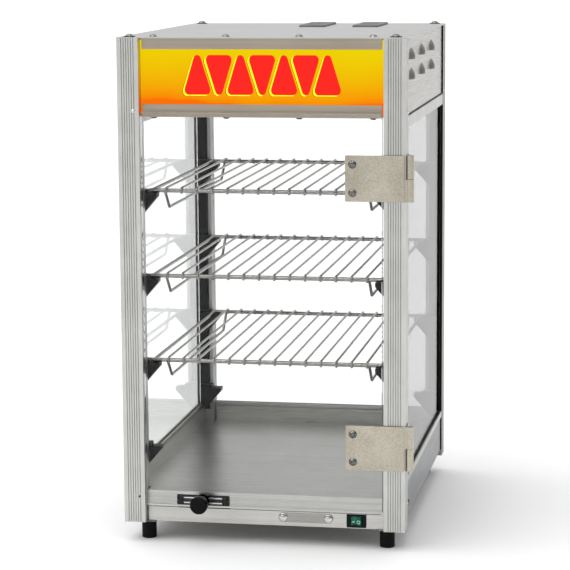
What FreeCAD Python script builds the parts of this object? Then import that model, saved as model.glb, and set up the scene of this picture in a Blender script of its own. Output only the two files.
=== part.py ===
import FreeCAD, Part
import math
import os
from FreeCAD import Vector

# Glass door merchandiser: a heated countertop display cabinet with a lit sign over a frameless glass door.
#
# Every sub-part is drawn in cabinet coordinates, in millimetres: X runs from the left outer face of the
# posts to the right one, Y from the front face of the front posts to the back, and Z up from the foot of
# the posts. save() moves each one to the part's own frame, whose origin is at the middle of the whole
# outline, on the plane that the feet stand on.

# --- overall sizes ---
WIDTH = 305.0
DEPTH = 381.0
POST_HEIGHT = 520.0
POST = 23.0
FOOT_HEIGHT = 20.5
FOOT_PLATE = 1.0
STAND_HEIGHT = FOOT_HEIGHT + FOOT_PLATE
SHEET = 1.2
GAP = 0.5

# --- post extrusion ---
POST_WALL = 2.5
FLUTE_COUNT = 6
FLUTE_PITCH = 2.6
FLUTE_RADIUS = 0.5
FLUTE_DEPTH = 0.9
BOSS_RADIUS = 3.6
WEB = 1.6
POST_HOLE_RADIUS = 1.2
POST_RIVET_LOW = 28.5
POST_RIVET_HIGH = 444.0
POST_RIVET_INSET = 16.7

# --- heights of the cabinet's bands, above the foot of the posts ---
HOOD_BOTTOM = 441.0
CEILING = 439.0
UPPER_RAIL_BOTTOM = 427.0
LOWER_RAIL_TOP = 56.0
LOWER_RAIL_BOTTOM = 49.0
BASE_SIDE_TOP = 47.5
BASE_SIDE_BOTTOM = 8.0
FLOOR_TOP = 34.5

# --- walls between the posts ---
PANEL_RECESS = 1.6
RAIL_RECESS = 0.3
RAIL_WIDTH = 10.0
RAIL_WALL = 1.5
GLASS = 4.0
FLANGE = 8.0
PANEL_GAP = 3.0
RAIL_END = 25.5
SHADOW_GAP = 6.0
PAN_END_GAP = 1.5
BASE_SCREW_Y = 31.0
BASE_SCREW_Z = 26.0
SEAL_DEPTH = 2.2
SEAL_FACE = 0.2

# --- louvres in the hood sides ---
LOUVRE_Y = [58.0, 150.0, 242.0]
LOUVRE_Z = [475.5, 496.5]
LOUVRE_REACH = 12.0
LOUVRE_HEIGHT = 4.6

# --- door and what hangs on it ---
DOOR_GLASS = 5.0
DOOR_BOTTOM = 18.0
DOOR_TOP = 443.0
DOOR_SIDE_GAP = 1.5
DOOR_SCREW_HOLE = 2.3
HINGE_LENGTH = 48.0
UPPER_HINGE_BOTTOM = 352.0
LOWER_HINGE_BOTTOM = 66.5
HINGE_PLATE = 1.6
HINGE_PAD = 0.8
HINGE_LEFT = 242.0
HINGE_SCREW_X = 249.7
HINGE_SCREW_SPAN = 29.6
KNUCKLE_GAP = 0.4
TAB_SET_BACK = 1.0
BARREL_RADIUS = 4.0
PIN_RADIUS = 1.8
PIN_CLEARANCE = 0.05
BARREL_X = WIDTH + 4.6
BARREL_Y = BARREL_RADIUS - HINGE_PAD - HINGE_PLATE
POST_LEAF_FRONT = 7.0
POST_LEAF_REAR = 22.0
POST_LEAF_SCREW_Y = 15.5

# --- knob and catch ---
CATCH_X = 85.5
CATCH_Z = 25.3
CATCH_LENGTH = 57.0
CATCH_HEIGHT = 10.8
CATCH_FACE = 6.9
CATCH_BACK = 22.0
CATCH_CLEARANCE = 0.3
POLE_LENGTH = 42.0
POLE_THICKNESS = 1.3
POLE_OFFSET = 2.7
POLE_PROUD = 0.2
KNOB_RADIUS = 9.6
KNOB_NECK = 4.2
KNOB_LENGTH = 19.0
KNOB_NECK_END = 7.5
KNOB_RIM_START = 11.5
KNOB_CROWN = 2.2
KNOB_WASHER = 0.8
KNOB_SCREW = 9.0
STRIKE = 1.2
STRIKE_RADIUS = 7.5

# --- front of the base ---
BASE_FACE = 9.5
LIP_HEIGHT = 5.5
BASE_SIDE_GAP = 1.3
SWITCH_X = 251.8
SWITCH_Z = 8.6
SWITCH_WIDTH = 21.0
SWITCH_HEIGHT = 14.6
SWITCH_BEZEL = 1.8
SWITCH_DEPTH = 20.0
SWITCH_BODY_INSET = 1.2
SWITCH_BLADE = 7.0
SWITCH_BLADE_PITCH = 6.0
BLADE_THICKNESS = 0.8
BLADE_WIDTH = 4.8
ROCKER_WIDTH = 11.0
ROCKER_HEIGHT = 9.4
ROCKER_TILT = 10.0
ROCKER_PIN = 1.0
ROCKER_PIN_INSET = 1.6
ROCKER_SIDE_ROOM = 1.1
ROCKER_END_ROOM = 0.3
ROCKER_WELL = 5.5
ROCKER_PIVOT_Y = BASE_FACE + 1.2
PLATE_X = 197.0
PLATE_Z = 9.4
PLATE_LENGTH = 59.0
PLATE_HEIGHT = 10.0
PLATE_RIVET_SPAN = 49.0
PLATE_RIVET_RADIUS = 5.0
PLATE_RIVET_HEIGHT = 2.8
PLATE_THICKNESS = 0.8

# --- sign ---
TRIM_FACE = 7.0
SIGN_FACE = 9.0
SIGN_THICKNESS = 3.0
UPPER_TRIM_BOTTOM = 508.5
LOWER_TRIM_TOP = 451.0
LOWER_TRIM_BOTTOM = CEILING - SHEET
TRIM_INSET = 2.0
TRIM_REAR = 30.0
TRIM_SCREW_PITCH = 77.8
TRIM_SCREW_Y = 17.0

# --- shelf supports and shelves ---
STRIP_LEFT = 6.0
STRIP_RIGHT = 18.7
STRIP_THICKNESS = 2.0
STRIP_TOP = 436.0
BRACKET_RIGHT = 35.2
BRACKET_DEPTH = 13.0
BRACKET_DROP = 23.0
BRACKET_NOSE = 4.0
BRACKET_LIP = 3.5
BRACKET_LIP_RIGHT = POST + 1.5
LEDGES = [79.0, 171.0, 263.0, 355.0]
SHELF_INSET = 25.6
SHELF_FRONT = 31.0
SHELF_RAIL = 2.2
SHELF_SIDE_RAIL = 1.9
SHELF_WIRE = 1.3
SHELF_WIRE_COUNT = 14
WELD = 0.5
CURL_ANGLE = 140.0
RUNNER_INSET = 42.5
RUNNER_DROP = 20.0
RUNNER_WIRE = 1.6
RUNNER_BEND = 5.0

# --- roof vents ---
VENT_X = [163.0, 225.0]
VENT_Y = 310.0
VENT_WIDTH = 30.0
VENT_LENGTH = 85.0
VENT_HEIGHT = 2.6
VENT_RIM = 3.0
VENT_SLOT = 2.4
VENT_SLOT_COUNT = 11

# --- parts inside ---
LAMP_Y = 62.0
LAMP_Z = 480.0
LAMP_RADIUS = 8.0
LAMP_LENGTH = 212.0
HOLDER_WIDTH = 9.0
HOLDER_RADIUS = 9.0
HEATER_Z = 22.0
HEATER_RADIUS = 3.2
HEATER_LEFT = 80.0
HEATER_RIGHT = 225.0
HEATER_FRONT = 90.0
HEATER_REAR = 300.0
HEATER_BEND = 28.0
CLIP_REACH = 6.0
THERMOSTAT_Y = 200.0
THERMOSTAT_RADIUS = 8.0
THERMOSTAT_DEPTH = 14.0
GLAND_X = 60.0
GLAND_Z = 24.0
GLAND_BODY = 7.0
GLAND_BORE = 3.8
GLAND_FLANGE = 1.5
GLAND_LENGTH = 14.0

# --- feet and screws ---
FOOT_INSET = 21.8
FOOT_RADIUS = 8.0
FOOT_PLATE_INSET = 7.0
FOOT_PLATE_SIZE = 26.0
FOOT_SCREW_LENGTH = 14.0
HEAD_RADIUS = 4.4
HEAD_HEIGHT = 2.6
RECESS_REACH = 2.6
RECESS_HALF = 0.7
RECESS_DEPTH = 1.7
SHANK = 1.9
SCREW_HOLE = 2.1
THREAD_ROOM = 0.02
WASHER_RADIUS = 6.2
WASHER_HEIGHT = 0.8
WASHER_TEETH = 12
NUT_RADIUS = 3.9
NUT_HEIGHT = 2.6
POST_SCREW = 14.0
SHEET_SCREW = 6.0
RIVET_HEAD = 2.2
RIVET_HEIGHT = 1.2
RIVET_PIN = 1.0
RIVET_HOLE = 1.05

ROOF = POST_HEIGHT + SHEET
REAR_WALL = DEPTH - PANEL_RECESS
TRIM_SCREW_X = [WIDTH / 2 + step * TRIM_SCREW_PITCH for step in (-1.5, -0.5, 0.5, 1.5)]

# The whole outline runs from the knob's face to the rear of the posts, and from the left louvres to the
# hinge barrels.
ORIGIN_X = (PANEL_RECESS - LOUVRE_HEIGHT + BARREL_X + BARREL_RADIUS) / 2
ORIGIN_Y = (DEPTH - KNOB_LENGTH) / 2

UP = Vector(0, 0, 1)
DOWN = Vector(0, 0, -1)
FORWARDS = Vector(0, -1, 0)
BACKWARDS = Vector(0, 1, 0)
LEFTWARDS = Vector(-1, 0, 0)
RIGHTWARDS = Vector(1, 0, 0)


# ---------------------------------------------------------------- helpers

def block(x0, x1, y0, y1, z0, z1):
    """A box between two corners."""
    return Part.makeBox(x1 - x0, y1 - y0, z1 - z0, Vector(x0, y0, z0))


def rod(radius, start, direction, length):
    """A cylinder that starts at a point and runs along a direction."""
    return Part.makeCylinder(radius, length, start, direction)


def join(first, *others):
    """One solid from several that overlap or share faces."""
    return first.multiFuse(list(others)).removeSplitter()


def cut(shape, *tools):
    """The shape without the tools."""
    return shape.cut(list(tools))


def moved(shape, x=0.0, y=0.0, z=0.0):
    """A copy of the shape, shifted."""
    copy = shape.copy()
    copy.translate(Vector(x, y, z))
    return copy


def mirror_x(shape):
    """The same piece on the cabinet's other side."""
    return shape.mirror(Vector(WIDTH / 2, 0, 0), RIGHTWARDS)


def mirror_y(shape):
    """The same piece at the cabinet's other end, front to back."""
    return shape.mirror(Vector(0, DEPTH / 2, 0), BACKWARDS)


def at_four_corners(shape):
    """Copies of a front left piece at all four corners."""
    right = mirror_x(shape)
    return [shape, right, mirror_y(shape), mirror_y(right)]


def edges_along(shape, direction):
    """A shape's straight edges that run along a direction."""
    found = []
    for edge in shape.Edges:
        span = edge.Vertexes[-1].Point - edge.Vertexes[0].Point
        if span.Length > 0 and span.cross(direction).Length < 1e-6:
            found.append(edge)
    return found


def turned(shape, direction):
    """A shape drawn along +Z, turned to run along another direction."""
    copy = shape.copy()
    copy.Placement = FreeCAD.Placement(Vector(), FreeCAD.Rotation(UP, direction))
    return copy


def dome(radius, height):
    """A round cap that stands on Z = 0."""
    sphere_radius = (radius ** 2 + height ** 2) / (2 * height)
    sphere = Part.makeSphere(sphere_radius, Vector(0, 0, height - sphere_radius))
    return sphere.common(rod(radius, Vector(), UP, height))


def pan_screw(place, direction, shank):
    """A cross-recessed pan head screw, with the underside of its head at a point, facing a direction."""
    stem = rod(SHANK, Vector(0, 0, -shank), UP, shank + WELD)
    reach = RECESS_REACH
    low = HEAD_HEIGHT - RECESS_DEPTH
    across = block(-reach, reach, -RECESS_HALF, RECESS_HALF, low, HEAD_HEIGHT + 1)
    along = block(-RECESS_HALF, RECESS_HALF, -reach, reach, low, HEAD_HEIGHT + 1)
    screw = cut(join(dome(HEAD_RADIUS, HEAD_HEIGHT), stem), join(across, along))
    return moved(turned(screw, direction), *place)


def save(name, *solids):
    """Writes one sub-part, moved from cabinet coordinates to the part's own frame."""
    pieces = [solid for shape in solids for solid in shape.Solids]
    for piece in pieces:
        if not piece.isValid() or piece.Volume <= 0:
            raise ValueError(f"{name} has a solid that is not valid")
    shape = pieces[0] if len(pieces) == 1 else Part.makeCompound(pieces)
    moved(shape, -ORIGIN_X, -ORIGIN_Y, STAND_HEIGHT).exportStep(f"parts/{name}.step")


# ---------------------------------------------------------------- posts and feet

def front_left_post():
    """The corner extrusion: a square tube, fluted on both outer faces, with a screw boss in its middle."""
    middle = POST / 2
    inner = POST - POST_WALL
    tube = cut(
        block(0, POST, 0, POST, 0, POST_HEIGHT),
        block(POST_WALL, inner, POST_WALL, inner, -1, POST_HEIGHT + 1),
    )
    boss = rod(BOSS_RADIUS, Vector(middle, middle, 0), UP, POST_HEIGHT)
    side_web = block(1, POST - 1, middle - WEB / 2, middle + WEB / 2, 0, POST_HEIGHT)
    front_web = block(middle - WEB / 2, middle + WEB / 2, 1, POST - 1, 0, POST_HEIGHT)
    tools = [rod(SHANK + THREAD_ROOM, Vector(middle, middle, -1), UP, POST_HEIGHT + 2)]
    first_flute = middle - FLUTE_PITCH * (FLUTE_COUNT - 1) / 2
    flute = join(
        rod(FLUTE_RADIUS, Vector(0, FLUTE_DEPTH, -1), UP, POST_HEIGHT + 2),
        block(-FLUTE_RADIUS, FLUTE_RADIUS, -1, FLUTE_DEPTH, -1, POST_HEIGHT + 1),
    )
    side_flute = flute.copy()
    side_flute.rotate(Vector(), UP, -90)
    for index in range(FLUTE_COUNT):
        place = first_flute + index * FLUTE_PITCH
        tools.append(moved(flute, x=place))
        tools.append(moved(side_flute, y=place))
    for height in (POST_RIVET_LOW, POST_RIVET_HIGH):
        tools.append(rod(RIVET_HOLE, Vector(-1, POST_RIVET_INSET, height), RIGHTWARDS, POST_WALL + 2))
    return cut(join(tube, boss, side_web, front_web), *tools)


def post_rivet(place, direction):
    """A domed drive rivet whose head sits on a post's face."""
    head = moved(turned(dome(RIVET_HEAD, RIVET_HEIGHT), direction), *place)
    start = Vector(*place) + direction * (RIVET_HEIGHT / 2)
    return join(head, rod(RIVET_PIN, start, direction * -1, POST_WALL + RIVET_HEIGHT / 2))


def leaf_screw_places():
    """Where the fixed hinge leaves are screwed to the front right post."""
    places = []
    for bottom in (UPPER_HINGE_BOTTOM, LOWER_HINGE_BOTTOM):
        for side in (-1, 1):
            height = bottom + HINGE_LENGTH / 2 + side * HINGE_SCREW_SPAN / 2
            places.append((WIDTH + HINGE_PLATE, POST_LEAF_SCREW_Y, height))
    return places


def save_posts():
    """The four corner posts, of one extrusion, with the hinge screws' holes in the front right one."""
    post = front_left_post()
    left, right, rear_left, rear_right = at_four_corners(post)
    front_hole_start = Vector(POST_RIVET_INSET, -1, POST_RIVET_LOW)
    front_hole = rod(POST_HOLE_RADIUS, front_hole_start, BACKWARDS, POST_WALL + 2)
    front_rivet_place = (POST_RIVET_INSET, 0, POST_RIVET_HIGH)
    front_rivet_hole = rod(RIVET_HOLE, Vector(*front_rivet_place) + FORWARDS, BACKWARDS, POST_WALL + 2)
    hinge_holes = []
    for place in leaf_screw_places():
        hinge_holes.append(rod(SCREW_HOLE, Vector(*place), LEFTWARDS, HINGE_PLATE + POST_WALL + 1))
    save("post_front_left", cut(left, front_hole, front_rivet_hole))
    save("post_front_right", cut(right, *hinge_holes))
    save("post_rear_left", rear_left)
    save("post_rear_right", rear_right)
    rivets = [post_rivet(front_rivet_place, FORWARDS)]
    for height in (POST_RIVET_LOW, POST_RIVET_HIGH):
        rivets += at_four_corners(post_rivet((0, POST_RIVET_INSET, height), LEFTWARDS))
    save("post_rivets", *rivets)


def sunk_screw(place, direction, length):
    """A countersunk screw whose head fills the thickness of a foot plate and starts at a point."""
    head = Part.makeCone(SHANK * 2, SHANK, FOOT_PLATE, place, direction)
    return join(head, rod(SHANK, place + direction * (FOOT_PLATE / 2), direction, FOOT_PLATE / 2 + length))


def save_feet():
    """Rubber feet on small plates screwed up into the posts' bosses; gives back the plates' screws."""
    middle = POST / 2
    centre = Vector(FOOT_INSET, FOOT_INSET, 0)
    foot_screw = sunk_screw(centre, DOWN, FOOT_SCREW_LENGTH)
    boss_screw = sunk_screw(Vector(middle, middle, -FOOT_PLATE), UP, POST_SCREW)
    near = FOOT_PLATE_INSET
    far = near + FOOT_PLATE_SIZE
    plate = block(near, far, near, far, -FOOT_PLATE, 0)
    plate = plate.makeFillet(3, edges_along(plate, UP))
    plate = cut(plate, foot_screw, boss_screw)
    top = centre + DOWN * FOOT_PLATE
    foot = rod(FOOT_RADIUS, top, DOWN, FOOT_HEIGHT)
    bottom_edge = [edge for edge in foot.Edges if edge.BoundBox.ZMax < -FOOT_HEIGHT]
    screw_bore = rod(SHANK + THREAD_ROOM, top, DOWN, FOOT_SCREW_LENGTH + GAP)
    foot = cut(foot.makeFillet(1.0, bottom_edge), screw_bore)
    save("rubber_feet", *at_four_corners(foot))
    save("foot_plates", *at_four_corners(plate))
    return at_four_corners(foot_screw) + at_four_corners(boss_screw)


# ---------------------------------------------------------------- walls

def louvre_shapes(y, z):
    """The outer half dome of a louvre on the left hood side, and the hollow that opens downwards."""
    face = PANEL_RECESS
    radius = (LOUVRE_REACH ** 2 + LOUVRE_HEIGHT ** 2) / (2 * LOUVRE_HEIGHT)
    centre = Vector(face - LOUVRE_HEIGHT + radius, y, z)
    upper = block(face - LOUVRE_HEIGHT - 1, face + SHEET, y - radius, y + radius, z, z + radius)
    wide = block(face - LOUVRE_HEIGHT - 1, face + SHEET + 1, y - radius, y + radius, z - 0.01, z + radius)
    outer = Part.makeSphere(radius, centre).common(upper)
    hollow = Part.makeSphere(radius - SHEET * 0.8, centre).common(wide)
    return outer, hollow


def hood_side():
    """The left upper panel: a folded sheet between the posts with two rows of half-dome louvres."""
    near = POST + PANEL_GAP
    far = DEPTH - near
    inner = PANEL_RECESS + SHEET
    flange_end = inner + FLANGE
    sheet = block(PANEL_RECESS, inner, near, far, HOOD_BOTTOM, POST_HEIGHT)
    top = block(PANEL_RECESS, flange_end, near, far, POST_HEIGHT - SHEET, POST_HEIGHT)
    foot = block(PANEL_RECESS, flange_end, near, far, HOOD_BOTTOM, HOOD_BOTTOM + SHEET)
    step = block(SHADOW_GAP + 1, flange_end, near, far, CEILING + SHEET, HOOD_BOTTOM + SHEET)
    domes = [louvre_shapes(y, z) for y in LOUVRE_Y for z in LOUVRE_Z]
    panel = join(sheet, top, foot, step, *[outer for outer, hollow in domes])
    return cut(panel, *[hollow for outer, hollow in domes])


def base_side():
    """The left lower panel: a folded sheet whose top flange carries the glass channel."""
    near = POST + PANEL_GAP
    far = DEPTH - near
    flange_end = PANEL_RECESS + SHEET + FLANGE
    sheet = block(PANEL_RECESS, PANEL_RECESS + SHEET, near, far, BASE_SIDE_BOTTOM, BASE_SIDE_TOP)
    top = block(PANEL_RECESS, flange_end, near, far, BASE_SIDE_TOP - SHEET, BASE_SIDE_TOP)
    step = block(SHADOW_GAP, flange_end, near, far, BASE_SIDE_TOP - SHEET, LOWER_RAIL_BOTTOM)
    foot = block(PANEL_RECESS, flange_end, near, far, BASE_SIDE_BOTTOM, BASE_SIDE_BOTTOM + SHEET)
    screw_hole = rod(SCREW_HOLE, Vector(0, BASE_SCREW_Y, BASE_SCREW_Z), RIGHTWARDS, FLANGE)
    return cut(join(sheet, top, step, foot), screw_hole)


def side_channel(low, high, opens_up):
    """A left glass channel: a U section along Y."""
    left = RAIL_RECESS
    right = RAIL_RECESS + RAIL_WIDTH
    body = block(left, right, RAIL_END, DEPTH - RAIL_END, low, high)
    groove_low = low + RAIL_WALL if opens_up else low - 1
    groove_high = high + 1 if opens_up else high - RAIL_WALL
    groove = block(left + RAIL_WALL, right - RAIL_WALL, 0, DEPTH, groove_low, groove_high)
    return cut(body, groove)


def rear_channel(low, high, opens_up):
    """A rear glass channel: the same U section along X."""
    rear = DEPTH - RAIL_RECESS
    front = rear - RAIL_WIDTH
    edge = POST + GAP
    body = block(edge, WIDTH - edge, front, rear, low, high)
    groove_low = low + RAIL_WALL if opens_up else low - 1
    groove_high = high + 1 if opens_up else high - RAIL_WALL
    groove = block(0, WIDTH, front + RAIL_WALL, rear - RAIL_WALL, groove_low, groove_high)
    return cut(body, groove)


def save_walls():
    """The hood, glass and base panels on the left, right and rear."""
    glass_left = RAIL_RECESS + (RAIL_WIDTH - GLASS) / 2
    glass_low = LOWER_RAIL_BOTTOM + RAIL_WALL
    glass_high = CEILING - RAIL_WALL - GAP
    side_glass = block(glass_left, glass_left + GLASS, RAIL_END, DEPTH - RAIL_END, glass_low, glass_high)
    upper = side_channel(UPPER_RAIL_BOTTOM, CEILING, False)
    lower = side_channel(LOWER_RAIL_BOTTOM, LOWER_RAIL_TOP, True)
    for name, left_piece in (
        ("hood_side", hood_side()),
        ("base_side", base_side()),
        ("upper_channel", upper),
        ("lower_channel", lower),
        ("side_glass", side_glass),
    ):
        save(f"{name}_left", left_piece)
        save(f"{name}_right", mirror_x(left_piece))
    edge = POST + GAP
    rear_out = DEPTH - glass_left
    save("rear_glass", block(edge, WIDTH - edge, rear_out - GLASS, rear_out, glass_low, glass_high))
    upper_rear = rear_channel(UPPER_RAIL_BOTTOM, CEILING, False)
    lower_rear = rear_channel(LOWER_RAIL_BOTTOM, LOWER_RAIL_TOP, True)
    save("rear_channels", upper_rear, lower_rear)
    save("hood_rear", rear_sheet(HOOD_BOTTOM, POST_HEIGHT))
    gland_hole = rod(GLAND_BODY + 0.1, Vector(GLAND_X, DEPTH + 1, GLAND_Z), FORWARDS, FLANGE)
    save("base_rear", cut(rear_sheet(BASE_SIDE_BOTTOM, BASE_SIDE_TOP), gland_hole))


def save_seals():
    """Black rubber seals where the sides meet the posts, and between the panels and the glass channels."""
    near = POST + GAP / 2
    pieces = []
    for right, low, high in (
        (PANEL_RECESS + SHEET, HOOD_BOTTOM, POST_HEIGHT),
        (SEAL_FACE + PANEL_RECESS + SHEET, LOWER_RAIL_TOP, UPPER_RAIL_BOTTOM),
        (PANEL_RECESS + SHEET, BASE_SIDE_BOTTOM, BASE_SIDE_TOP),
    ):
        pieces += at_four_corners(block(SEAL_FACE, right, near, near + SEAL_DEPTH, low, high))
    for low, high in ((CEILING, HOOD_BOTTOM), (BASE_SIDE_TOP, LOWER_RAIL_BOTTOM)):
        strip = block(PANEL_RECESS, SHADOW_GAP - GAP, RAIL_END, DEPTH - RAIL_END, low, high)
        pieces += [strip, mirror_x(strip)]
    save("panel_seals", *pieces)


def rear_sheet(low, high):
    """A folded rear panel between the posts, with a flange along its top and its foot."""
    edge = POST + GAP
    inner = REAR_WALL - SHEET
    sheet = block(edge, WIDTH - edge, inner, REAR_WALL, low, high)
    top = block(edge, WIDTH - edge, inner - FLANGE, REAR_WALL, high - SHEET, high)
    foot = block(edge, WIDTH - edge, inner - FLANGE, REAR_WALL, low, low + SHEET)
    return join(sheet, top, foot)


# ---------------------------------------------------------------- roof, ceiling, floor and bottom

def cross_pan(low, side, front, rear):
    """A flat sheet between the posts: full width in the middle, narrower at its front and rear."""
    edge = POST + PAN_END_GAP
    high = low + SHEET
    middle = block(side, WIDTH - side, RAIL_END, DEPTH - RAIL_END, low, high)
    ends = block(edge, WIDTH - edge, front, rear, low, high)
    return join(middle, ends)


def save_roof():
    """The roof sheet, screwed to the posts, with two slotted vent covers towards the back."""
    middle = POST / 2
    sheet = block(0, WIDTH, 0, DEPTH, POST_HEIGHT, ROOF)
    sheet = sheet.makeFillet(1.0, edges_along(sheet, UP))
    tools = []
    for x in (middle, WIDTH - middle):
        for y in (middle, DEPTH - middle):
            tools.append(rod(SCREW_HOLE, Vector(x, y, POST_HEIGHT - 1), UP, SHEET + 2))
    for x in TRIM_SCREW_X:
        tools.append(rod(SCREW_HOLE, Vector(x, TRIM_SCREW_Y, POST_HEIGHT - 1), UP, SHEET + 2))
    vents = []
    for x in VENT_X:
        tools.append(vent_opening(x, POST_HEIGHT - 1, ROOF + 1))
        vents.append(vent_cover(x))
    save("roof_panel", cut(sheet, *tools))
    save("roof_vents", *vents)


def vent_opening(x, low, high):
    """The space under a vent cover, inside its rim."""
    half = VENT_WIDTH / 2 - VENT_RIM
    reach = VENT_LENGTH / 2 - VENT_RIM
    return block(x - half, x + half, VENT_Y - reach, VENT_Y + reach, low, high)


def vent_cover(x):
    """A raised cover with crosswise slots, open underneath."""
    half = VENT_WIDTH / 2
    reach = VENT_LENGTH / 2
    cover = block(x - half, x + half, VENT_Y - reach, VENT_Y + reach, ROOF, ROOF + VENT_HEIGHT)
    top_edges = [edge for edge in cover.Edges if edge.BoundBox.ZMin > ROOF + VENT_HEIGHT - 0.1]
    cover = cover.makeChamfer(1.0, top_edges)
    tools = [vent_opening(x, ROOF - 1, ROOF + VENT_HEIGHT / 2)]
    pitch = (VENT_LENGTH - 10) / VENT_SLOT_COUNT
    for index in range(VENT_SLOT_COUNT):
        y = VENT_Y - reach + 5 + (index + 0.5) * pitch
        tools.append(block(x - half + 5, x + half - 5, y - VENT_SLOT / 2, y + VENT_SLOT / 2, ROOF, ROOF + 5))
    return cut(cover, *tools)


def save_pans():
    """The ceiling under the lamp, the heated floor of the cabinet and the bottom closing sheet."""
    ceiling = cross_pan(CEILING, SHADOW_GAP, SIGN_FACE - GAP, REAR_WALL - SHEET - GAP)
    holes = [rod(SCREW_HOLE, Vector(x, TRIM_SCREW_Y, CEILING - 1), UP, SHEET + 2) for x in TRIM_SCREW_X]
    save("ceiling_panel", cut(ceiling, *holes))

    wall = RAIL_RECESS + RAIL_WIDTH + GAP
    rear = REAR_WALL - RAIL_WIDTH - 1
    low = FLOOR_TOP - SHEET
    floor = cross_pan(low, wall, BASE_FACE - SHEET, rear)
    edge = POST + PAN_END_GAP
    turn_up = LOWER_RAIL_TOP - 4
    left_wall = block(wall, wall + SHEET, RAIL_END, DEPTH - RAIL_END, low, turn_up)
    rear_wall = block(edge, WIDTH - edge, rear - SHEET, rear, low, turn_up)
    lip = block(edge, WIDTH - edge, BASE_FACE - SHEET, BASE_FACE, FLOOR_TOP - LIP_HEIGHT, FLOOR_TOP)
    lip_corners = [e for e in edges_along(lip, BACKWARDS) if e.BoundBox.ZMax < FLOOR_TOP - LIP_HEIGHT + 0.1]
    lip = lip.makeChamfer(LIP_HEIGHT * 0.6, lip_corners)
    save("floor_panel", cut(join(floor, left_wall, mirror_x(left_wall), rear_wall, lip), catch_opening()))

    inside = PANEL_RECESS + SHEET + GAP
    bottom_rear = REAR_WALL - SHEET - FLANGE - GAP
    bottom = cross_pan(BASE_SIDE_BOTTOM + SHEET, inside, BASE_FACE + SHEET + GAP, bottom_rear)
    switch_half = SWITCH_WIDTH / 2 + 1
    switch_back = BASE_FACE + SWITCH_DEPTH + SWITCH_BLADE + 1
    notch = block(SWITCH_X - switch_half, SWITCH_X + switch_half, 0, switch_back, 0, BASE_SIDE_TOP)
    save("bottom_panel", cut(bottom, notch))


# ---------------------------------------------------------------- front of the hood and of the base

def save_sign():
    """The lit sign sheet and the two folded trims that hold it."""
    edge = POST + GAP
    inset = edge + TRIM_INSET
    holes = [rod(SCREW_HOLE, Vector(x, TRIM_SCREW_Y, 0), UP, ROOF) for x in TRIM_SCREW_X]
    low = CEILING + SHEET
    high = POST_HEIGHT - SHEET - 0.4
    sign = block(edge, WIDTH - edge, SIGN_FACE, SIGN_FACE + SIGN_THICKNESS, low, high)
    save("sign_panel", sign)
    back = TRIM_FACE + SHEET
    upper = join(
        block(inset, WIDTH - inset, TRIM_FACE, back, UPPER_TRIM_BOTTOM, POST_HEIGHT),
        block(inset, WIDTH - inset, TRIM_FACE, TRIM_REAR, POST_HEIGHT - SHEET, POST_HEIGHT),
    )
    lower = join(
        block(inset, WIDTH - inset, TRIM_FACE, back, LOWER_TRIM_BOTTOM, LOWER_TRIM_TOP),
        block(inset, WIDTH - inset, TRIM_FACE, TRIM_REAR, LOWER_TRIM_BOTTOM, CEILING),
    )
    save("sign_trim_upper", cut(upper, *holes))
    save("sign_trim_lower", cut(lower, *holes))


def catch_opening():
    """The opening that the magnetic catch goes through."""
    half = CATCH_LENGTH / 2 + CATCH_CLEARANCE
    rise = CATCH_HEIGHT / 2 + CATCH_CLEARANCE
    return block(CATCH_X - half, CATCH_X + half, 0, CATCH_BACK + 1, CATCH_Z - rise, CATCH_Z + rise)


def switch_body(margin, front, back):
    """The space that the switch's body takes behind its bezel, with a margin all round."""
    half = SWITCH_WIDTH / 2 - SWITCH_BODY_INSET + margin
    rise = SWITCH_HEIGHT / 2 - SWITCH_BODY_INSET + margin
    return block(SWITCH_X - half, SWITCH_X + half, front, back, SWITCH_Z - rise, SWITCH_Z + rise)


def save_base_front():
    """The base's front panel, with openings for the catch and the switch, and the blank plate on it."""
    edge = POST + BASE_SIDE_GAP
    back = BASE_FACE + SHEET
    top = FLOOR_TOP - SHEET
    panel = join(
        block(edge, WIDTH - edge, BASE_FACE, back, 0, top),
        block(edge, WIDTH - edge, BASE_FACE, back + FLANGE, 0, SHEET),
        block(edge, WIDTH - edge, BASE_FACE, back + FLANGE, top - SHEET, top),
    )
    rivet_x = [PLATE_X - PLATE_RIVET_SPAN / 2, PLATE_X + PLATE_RIVET_SPAN / 2]
    rivet_holes = [rod(SCREW_HOLE, Vector(x, 0, PLATE_Z), BACKWARDS, back + GAP) for x in rivet_x]
    switch_hole = switch_body(0.1, 0, back + FLANGE + 1)
    save("base_front", cut(panel, catch_opening(), switch_hole, *rivet_holes))

    half = PLATE_LENGTH / 2
    rise = PLATE_HEIGHT / 2
    front = BASE_FACE - PLATE_THICKNESS
    plate = block(PLATE_X - half, PLATE_X + half, front, BASE_FACE, PLATE_Z - rise, PLATE_Z + rise)
    plate = plate.makeFillet(rise - 0.1, edges_along(plate, BACKWARDS))
    save("blank_plate", cut(plate, *rivet_holes))
    save("plate_rivets", *[plate_rivet((x, front, PLATE_Z)) for x in rivet_x])


def plate_rivet(place):
    """A domed rivet on the blank plate, whose pin ends flush with the back of the base panel."""
    grip = PLATE_THICKNESS + SHEET
    pin = rod(SHANK, Vector(0, 0, -grip), UP, grip + PLATE_RIVET_HEIGHT / 2)
    return moved(turned(join(dome(PLATE_RIVET_RADIUS, PLATE_RIVET_HEIGHT), pin), FORWARDS), *place)


# ---------------------------------------------------------------- rocker switch

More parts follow.
